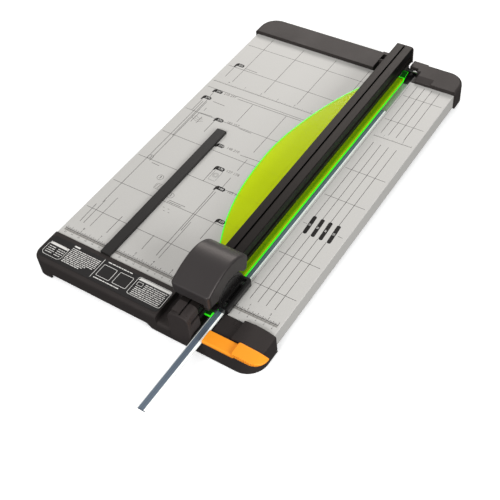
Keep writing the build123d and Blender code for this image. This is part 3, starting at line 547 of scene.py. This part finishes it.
def digits(bm, text, x, y, size, z0, z1, turn=0.0, align="CENTER"):
    """Plain numerals as closed raised shapes, size in mm of height."""
    cu = bpy.data.curves.new("tmp_digits", "FONT")
    cu.body = text
    cu.size = size * 1.38 / 1000.0
    cu.align_x, cu.align_y = align, "CENTER"
    cu.extrude = (z1 - z0) / 2000.0
    cu.resolution_u = 2
    tmp = bpy.data.objects.new("tmp_digits", cu)
    scene.collection.objects.link(tmp)
    dg = bpy.context.evaluated_depsgraph_get()
    me = bpy.data.meshes.new_from_object(tmp.evaluated_get(dg))
    c = D(x, y, (z0 + z1) / 2)
    me.transform(Matrix.Translation(c) @ Matrix.Rotation(math.radians(turn), 4, "Z"))
    part = bmesh.new()
    part.from_mesh(me)
    bmesh.ops.remove_doubles(part, verts=part.verts, dist=1e-6)
    part.to_mesh(me)
    part.free()
    bm.from_mesh(me)
    bpy.data.meshes.remove(me)
    bpy.data.objects.remove(tmp)
    bpy.data.curves.remove(cu)


# ---------------------------------------------------------------- print on the board
Z0, Z1, Z2 = -0.02, 0.03, 0.05
TH = 0.5

# square grid and long marks
bm = bmesh.new()
for y in range(50, 401, 50):
    stroke(bm, (3.6, y), (222.6, y), TH, Z0, Z1)
for y in (50, 100, 200, 250, 350, 400):
    stroke(bm, (239.4, y), (292.0, y), TH, Z0, Z1)
for a, b in ((240.6, 245.4), (285.4, 291.2)):
    stroke(bm, (a, 150), (b, 150), TH, Z0, Z1)
for x, spans in ((28.3, ((322, 424), (256, 262), (26, 78))), (78.3, ((322, 424), (258, 295))),
                 (128.3, ((322, 424), (220, 297), (184, 206), (152, 170), (26, 88))),
                 (178.3, ((322, 424), (24, 300)))):
    for a, b in spans:
        stroke(bm, (x, a), (x, b), TH, Z0, Z1)
stroke(bm, (237.2, 16.0), (237.2, 424.0), 0.26, Z0, Z1)
finish_piece(bm, "print_grid", "ink_line", "base")

# paper corners, size lines, side lines
bm = bmesh.new()
LN = 0.58
for a, b in (((13.2, 349), (13.2, 327.6)), ((28, 354), (47, 353.4)), ((18.5, 292), (18.5, 285)),
             ((54.2, 295.9), (150, 297.0)), ((13.2, 274), (13.2, 250.3)), ((28.3, 277), (46.6, 276.4)),
             ((51.9, 245), (51.9, 222.9)), ((87.5, 248.5), (106.2, 248)), ((116.4, 208.4), (148.0, 210.0)),
             ((101.7, 171), (101.7, 149.9)), ((122.7, 143), (123.4, 28.0)), ((125.6, 142), (125.6, 72)),
             ((16.4, 271), (16.6, 64)), ((19.6, 284), (20.2, 198)), ((21.4, 273), (22.2, 148)),
             ((11.8, 58), (12.6, 26.5)), ((17.6, 68), (18.2, 26.5)), ((52.2, 56.6), (52.2, 27.4)),
             ((103.0, 51), (103.4, 27.4)), ((152.5, 101), (152.5, 72)),
             ((27.5, 146), (38.7, 145.7)), ((84, 104.4), (108, 104.4)), ((84, 101.9), (104, 101.9)),
             ((25.4, 250.4), (44.5, 251.6)), ((25.4, 250.4), (25.2, 231)), ((33, 245), (33, 232))):
    stroke(bm, a, b, LN, Z0, Z1)
for x in (247.6, 257.7, 267.9, 278.5):
    stroke(bm, (x, 29.0), (x, 136.0), LN, Z0, Z1)
    stroke(bm, (x, 164.0), (x, 304.5), LN, Z0, Z1)
    stroke(bm, (x, 324.0), (x, 424.0), LN, Z0, Z1)
# setting marks beside the gauge bar
ring(bm, (52.4, 130.2), 4.1, 0.42, Z0, Z1)
ring(bm, (19.7, 153.6), 3.6, 0.42, Z0, Z1)
ring(bm, (82.0, 111.3), 4.1, 0.42, Z0, Z1)
for r in (5.0, 8.0, 11.0):
    ring(bm, (31.0, 246.0), r, 0.28, Z0, Z1, 200, 320)
frame_line(bm, 104.5, 155.5, 114.5, 174.0, 1.2, 0.3, Z0, Z1)
for r in (2.2, 3.6):
    ring(bm, (109.5, 165.0), r, 0.28, Z0, Z1)
frame_line(bm, 55.0, 112.0, 65.0, 121.0, 1.0, 0.3, Z0, Z1)
finish_piece(bm, "print_size_lines", "ink_line", "base")

# rulers: front and rear, both sides of the cutting line, in sixteenths
bm = bmesh.new()
band = bmesh.new()
stroke(bm, (4.4, 10.9), (171.0, 11.4), 0.8, Z0, Z1)
stroke(bm, (171.0, 11.4), (222.6, 11.8), 0.8, Z0, Z1)
stroke(bm, (239.6, 12.6), (292.4, 13.4), 0.8, Z0, Z1)
stroke(bm, (3.9, 313.8), (222.6, 315.2), 0.45, Z0, Z1)
stroke(bm, (241.5, 316.0), (292.0, 317.0), 0.45, Z0, Z1)


def tick(i):
    """Length of the mark for the i-th sixteenth."""
    return 5.2 if i % 16 == 0 else 4.2 if i % 8 == 0 else 3.2 if i % 4 == 0 else 2.4 if i % 2 == 0 else 1.7


for i in range(1, 142):
    x = CUT_X - i * 1.5875
    if 4.4 <= x <= 222.6:
        y = 11.2 + (x - 4.4) * 0.0045
        stroke(bm, (x, y), (x, y + tick(i)), 0.5, Z0, Z1)
        yr = 313.9 + (x - 3.9) * 0.0064
        stroke(bm, (x, yr), (x, yr + tick(i) * 0.62), 0.24, Z0, Z1)
for i in range(8, 41):
    x = CUT_X + i * 1.5875
    if x < 292.4:
        y = 12.7 + (x - 239.6) * 0.015
        stroke(bm, (x, y), (x, y + tick(i)), 0.5, Z0, Z1)
        if x > 242:
            stroke(bm, (x, 316.2), (x, 316.2 + tick(i) * 0.62), 0.24, Z0, Z1)
for i in range(1, 45):
    x = CUT_X - 5 * i
    if 5 < x < 222:
        stroke(bm, (x, 7.6 if i % 2 == 0 else 8.6), (x, 10.4), 0.3, Z0, Z1)
for i in range(3, 13):
    x = CUT_X + 5 * i
    stroke(bm, (x, 9.2 if i % 2 == 0 else 10.2), (x, 12.4), 0.3, Z0, Z1)
finish_piece(bm, "print_rulers", "ink_line", "base")
stroke(band, (4.4, 8.9), (222.6, 9.8), 2.4, Z0, 0.02)
stroke(band, (239.6, 10.8), (292.4, 11.6), 2.2, Z0, 0.02)
finish_piece(band, "print_ruler_band", "ink_band", "base")

# numerals on the rulers and beside the size tags
bm = bmesh.new()
for n in range(1, 9):
    x = CUT_X - 25.4 * n
    digits(bm, str(n), x, 19.2, 3.0, Z0, Z1)
    digits(bm, str(n), x, 319.3, 2.3, Z0, Z1)
for n in (1, 2):
    digits(bm, str(n), CUT_X + 25.4 * n - 1.0, 21.8, 3.0, Z0, Z1)
    digits(bm, str(n), CUT_X + 25.4 * n, 321.6, 2.3, Z0, Z1)
for n in range(1, 23):
    x = CUT_X - 10 * n
    if x < 222 and x > 6:
        digits(bm, str(n), x, 5.6, 2.0, Z0, Z1)
for n in range(2, 7):
    digits(bm, str(n), CUT_X + 10 * n, 7.4, 2.0, Z0, Z1)
digits(bm, "3", 52.4, 130.2, 4.4, Z0, Z1)
digits(bm, "2", 19.7, 153.6, 4.0, Z0, Z1)
digits(bm, "1", 82.0, 111.3, 4.4, Z0, Z1)
finish_piece(bm, "print_numerals", "ink_dark", "base")

bm = bmesh.new()
for text, x, y in (("210 297", 41.6, 297.0), ("182 257", 76.5, 251.5), ("148 210", 103.5, 211.5),
                   ("127 178", 126.0, 177.5), ("105 148", 146.5, 149.0), ("74 105", 175.0, 106.0)):
    digits(bm, text, x, y, 4.1, Z0, Z1)
for i in range(9):
    x = 53.0 + (i % 3) * 3.6
    y = 118.8 - (i // 3) * 2.3
    stroke(bm, (x + 2.4, y), (x + 4.6, y), 0.5, Z0, Z1)
for i in range(4):
    stroke(bm, (85 + i * 3.4, 92 - (i % 2) * 4.5), (87.4 + i * 3.4, 92 - (i % 2) * 4.5), 0.6, Z0, Z1)
finish_piece(bm, "print_pale_numerals", "ink_pale", "base")

# size tags: capsule with a tail hooked down on its left
TAGS = (((11.3, 349.9), (13.6, 359.7), (24.6, 355.1), "356"), ((15.5, 292.4), (18.5, 300.0), (29.6, 296.8), "297"),
        ((10.2, 274.0), (11.7, 283.0), (23.3, 279.7), "279"), ((49.7, 245.3), (51.7, 253.3), (62.8, 250.8), "250"),
        ((79.2, 206.5), (80.6, 214.0), (90.7, 211.2), "210"), ((100.6, 171.3), (102.3, 179.8), (114.5, 176.2), "178"),
        ((120.2, 143.5), (122.4, 151.9), (134.2, 148.6), "148"), ((151.5, 101.0), (153.2, 108.4), (163.7, 106.1), "105"))
bm = bmesh.new()
light = bmesh.new()
for tail, top, end, text in TAGS:
    x0, x1 = tail[0] + 0.2, end[0]
    yt = top[1]
    yb = yt - 6.0
    pts = [(tail[0] + 0.2, tail[1])]
    pts += [(tail[0] + 2.2, tail[1] + 0.3)]
    pts += [(x0 + 2.9, yb + 0.2)]
    pts += [(x1 - 1.6, yb)]
    for i in range(0, 6):
        t = math.radians(-70 + 140 * i / 5)
        pts.append((x1 - 1.9 + 1.9 * math.cos(t), (yb + yt) / 2 - 0.3 + 2.5 * math.sin(t)))
    pts += [(x1 - 2.2, yt - 0.2), (x0 + 3.4, yt)]
    for i in range(1, 6):
        t = math.radians(90 + 90 * i / 6)
        pts.append((x0 + 3.4 + 3.4 * math.cos(t), yt - 4.2 + 4.2 * math.sin(t)))
    prism(bm, pts, Z0, 0.04)
    digits(light, text, (x0 + 3.4 + x1 - 1.0) / 2, (yb + yt) / 2 - 0.1, 3.3, 0.02, 0.06)
for k, x in enumerate((249.3, 259.6, 269.7, 280.2)):
    pts = rounded(-2.45, -14.4, 2.45, 14.4, 2.1)
    prism(bm, [(x + px_ * 1.0 + (py_ / 14.4) * -0.8, 150.0 + py_) for px_, py_ in pts], Z0, 0.04)
    digits(light, str(20 + 10 * k), x, 150.0, 2.6, 0.02, 0.06, turn=90.0)
finish_piece(bm, "print_tags", "ink_dark", "base")
finish_piece(light, "print_tag_numerals", "ink_white", "base")

# ---------------------------------------------------------------- plain rules on the front plate
bm = bmesh.new()
A0, A1 = 1.79, 1.83


def rules(x0, x1, y, w=0.62, gap=(0.5, 1.0), run=(1.6, 5.5)):
    """A row of plain dashes."""
    x = x0
    while x < x1 - 1.0:
        ln = min(rnd.uniform(*run), x1 - x)
        stroke(bm, (x, y), (x + ln, y), w, A0, A1)
        x += ln + rnd.uniform(*gap)


frame_line(bm, 5.0, -33.0, 33.0, -13.9, 5.2, 0.5, A0, A1)
prism(bm, [(6.6, -17.3), (33.0, -17.3), (33.0, -14.2), (6.0, -14.2)], A0, A1)
for y in (-20.2, -23.0, -25.8, -28.6):
    rules(8.0, 19.0, y, 0.9)
    rules(21.0, 31.0, y, 0.9)
prism(bm, [(35.0, -8.4), (43.0, -8.4), (43.0, -6.4), (35.0, -6.4)], A0, A1)
for i in range(10):
    rules(35.0, 76.0 if i < 7 else 60.0 + 3 * (9 - i), -11.0 - i * 2.25, 0.95)
stroke(bm, (78.4, -5.8), (78.4, -33.6), 0.6, A0, A1)
rules(84.0, 118.0, -7.0, 1.2)
frame_line(bm, 82.0, -28.4, 101.0, -11.5, 1.5, 0.55, A0, A1)
frame_line(bm, 105.0, -28.4, 124.0, -11.5, 1.5, 0.55, A0, A1)
rules(82.0, 118.0, -31.6, 1.1)
frame_line(bm, 127.5, -31.4, 172.4, -6.0, 2.6, 0.55, A0, A1)
prism(bm, [(128.6, -10.2), (171.4, -10.2), (171.4, -7.0), (130.2, -7.0)], A0, A1)
frame_line(bm, 130.5, -17.2, 138.0, -12.2, 0.6, 0.5, A0, A1)
for i in range(8):
    rules(140.5 if i < 3 else 131.5, 169.5, -12.6 - i * 2.35, 0.95)
finish_piece(bm, "plate_rules", "ink_white", "base")


# ---------------------------------------------------------------- fluorescent sheet with a painted glow on its rim and painted shade on its ends
def guide_sheet():
    src = NODES["paper_guide"].data
    bm = bmesh.new()
    bm.from_mesh(src)
    bmesh.ops.remove_doubles(bm, verts=bm.verts, dist=1e-6)
    bmesh.ops.dissolve_limit(bm, angle_limit=math.radians(1.0), verts=bm.verts, edges=bm.edges)
    for y in (-2.6, 429.2):
        bmesh.ops.bisect_plane(bm, geom=bm.verts[:] + bm.edges[:] + bm.faces[:], plane_co=D(0, y), plane_no=(0, 1, 0), dist=1e-7)
    bmesh.ops.triangulate(bm, faces=bm.faces)
    y_front, y_tail = D(0, -2.6).y, D(0, 429.2).y
    top = [f for f in bm.faces if f.normal.z > 0.99 and f.calc_center_median().z > D(0, 0, 1.4).z
           and f.calc_center_median().z < D(0, 0, 1.6).z]
    r = bmesh.ops.inset_region(bm, faces=top, thickness=0.00125, use_even_offset=True, use_boundary=True)
    rim = set(r["faces"])
    for f in bm.faces:
        c = f.calc_center_median()
        # rim and side faces take the painted glow, front tab and tail the painted-shade copy
        f.material_index = 1 if (f in rim or abs(f.normal.z) < 0.4) else 2 if (c.y < y_front or c.y > y_tail) else 0
    return finish_piece(bm, "guide_sheet", "guide", "guide", extra=("guide_edge", "guide_end_shaded"))


gs = guide_sheet()
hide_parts("paper_guide")


# ---------------------------------------------------------------- coil springs
def coil(name, spots, r, wire, z0, z1, turns, body):
    bm = bmesh.new()
    seg, around = 20, 8
    for cx_, cy_ in spots:
        n = int(turns * seg)
        rows = []
        for i in range(n + 1):
            t = i / n
            a = 2 * math.pi * turns * t
            z = z0 + wire / 2 + (z1 - z0 - wire) * t
            c = D(cx_ + r * math.cos(a), cy_ + r * math.sin(a), z)
            radial = Vector((math.cos(a), math.sin(a), 0))
            row = []
            for k in range(around):
                b = 2 * math.pi * k / around
                row.append(bm.verts.new(c + (radial * math.cos(b) + Vector((0, 0, 1)) * math.sin(b)) * wire / 2000.0))
            rows.append(row)
        for p, q in zip(rows, rows[1:]):
            for k in range(around):
                l = (k + 1) % around
                bm.faces.new((p[k], p[l], q[l], q[k]))
        bm.faces.new(rows[0][::-1])
        bm.faces.new(rows[-1])
    ob = finish_piece(bm, name, "spring", body, smooth=True)
    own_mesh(ob)
    return ob


g = coil("guide_coils", [(210.0, y) for y in (18.0, 150.0, 282.0, 414.0)], 3.1, 0.8, 2.58, 22.0, 9, "rail")
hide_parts("guide_springs")
g = coil("press_coils", [(203.0, 1.0), (203.0, 38.0)], 2.6, 0.8, 31.6, 41.5, 6, "carriage")
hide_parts("press_springs")


# ---------------------------------------------------------------- screws with a cross recess
def turned(bm, origin, axis, profile, seg=28):
    """Solid of revolution from (distance along axis, radius) pairs, in mm, closed at both ends."""
    axis = Vector(axis).normalized()
    u = axis.orthogonal().normalized()
    v = axis.cross(u)
    o = D(*origin)
    rows = []
    for t, r in profile:
        rows.append([bm.verts.new(o + axis * t / 1000.0 + (u * math.cos(2 * math.pi * k / seg) + v * math.sin(2 * math.pi * k / seg))
                                  * r / 1000.0) for k in range(seg)])
    for p, q in zip(rows, rows[1:]):
        for k in range(seg):
            l = (k + 1) % seg
            bm.faces.new((p[k], p[l], q[l], q[k]))
    bm.faces.new(rows[0][::-1])
    bm.faces.new(rows[-1])


def cross_head(bm, origin, axis, r, h, depth):
    """Domed head whose top has a real cross-shaped recess; origin is the head's seat, axis points out."""
    axis = Vector(axis).normalized()
    u = axis.orthogonal().normalized()
    v = axis.cross(u)
    o = D(*origin)

    def P(a, b, t):
        return bm.verts.new(o + (u * a + v * b + axis * t) / 1000.0)

    w, L = r * 0.16, r * 0.62
    cross = [(w, w), (w, L), (-w, L), (-w, w), (-L, w), (-L, -w), (-w, -w), (-w, -L), (w, -L), (w, -w), (L, -w), (L, w)]
    n = 36
    angs = []
    # ring points matched to the cross outline, three ring points for each outline point
    for i in range(12):
        a0 = math.atan2(cross[i][1], cross[i][0])
        a1 = math.atan2(cross[(i + 1) % 12][1], cross[(i + 1) % 12][0])
        while a1 < a0:
            a1 += 2 * math.pi
        for k in range(3):
            angs.append((i, a0 + (a1 - a0) * k / 3))
    dome = lambda q: h * (1.0 - 0.34 * q * q)
    top_in = [P(c[0], c[1], dome(math.hypot(*c) / r)) for c in cross]
    bot_in = [P(c[0] * 0.8, c[1] * 0.8, dome(0) - depth) for c in cross]
    for i in range(12):
        j = (i + 1) % 12
        bm.faces.new((top_in[i], top_in[j], bot_in[j], bot_in[i]))
    bm.faces.new(bot_in[::-1])
    rings = []
    for q in (0.74, 0.9, 1.0):
        rings.append([P(r * q * math.cos(a), r * q * math.sin(a), dome(q) * (1.0 if q < 1 else 0.92)) for _, a in angs])
    for i in range(12):
        j = (i + 1) % 12
        a, b, c, d = (rings[0][3 * i], rings[0][3 * i + 1], rings[0][3 * i + 2], rings[0][(3 * i + 3) % n])
        bm.faces.new((top_in[i], a, b, c, d, top_in[j]))
    for p, q in zip(rings, rings[1:]):
        for k in range(n):
            l = (k + 1) % n
            bm.faces.new((p[k], q[k], q[l], p[l]))
    base = [P(r * math.cos(a), r * math.sin(a), 0.0) for _, a in angs]
    for k in range(n):
        l = (k + 1) % n
        bm.faces.new((rings[-1][k], base[k], base[l], rings[-1][l]))
    bm.faces.new(base[::-1])


bm = bmesh.new()
for x, y in ((40, -14), (100, -14), (158, -14), (270, -9), (40, 438), (100, 438), (160, 438), (257, 436)):
    prof = [(0.0, 1.5)]
    t = 0.0
    while t < 9.9:
        prof += [(t + 0.18, 1.5), (t + 0.36, 1.2), (t + 0.54, 1.2), (t + 0.72, 1.5)]
        t += 0.72
    prof += [(10.6, 1.0)]
    turned(bm, (x, y, -12.0), (0, 0, 1), prof, 18)
    cross_head(bm, (x, y, -12.0), (0, 0, -1), 3.15, 1.75, 1.1)
ob = finish_piece(bm, "cap_screws_threaded", "screw", "base")
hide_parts("cap_screws")

bm = bmesh.new()
for x, z in ((201.0, 21.5), (218.9, 21.5)):
    turned(bm, (x, 449.2, z), (0, 1, 0), [(0, 0.7), (0.8, 1.15), (11.9, 1.15)], 16)
    cross_head(bm, (x, 461.2, z), (0, 1, 0), 2.25, 0.98, 0.7)
    turned(bm, (x, -35.4, z), (0, 1, 0), [(0, 1.15), (20.6, 1.15), (21.2, 0.7)], 16)
ob = finish_piece(bm, "rail_screws_crosshead", "screw", "rail")
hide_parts("rail_end_screws")


bpy.context.view_layer.update()
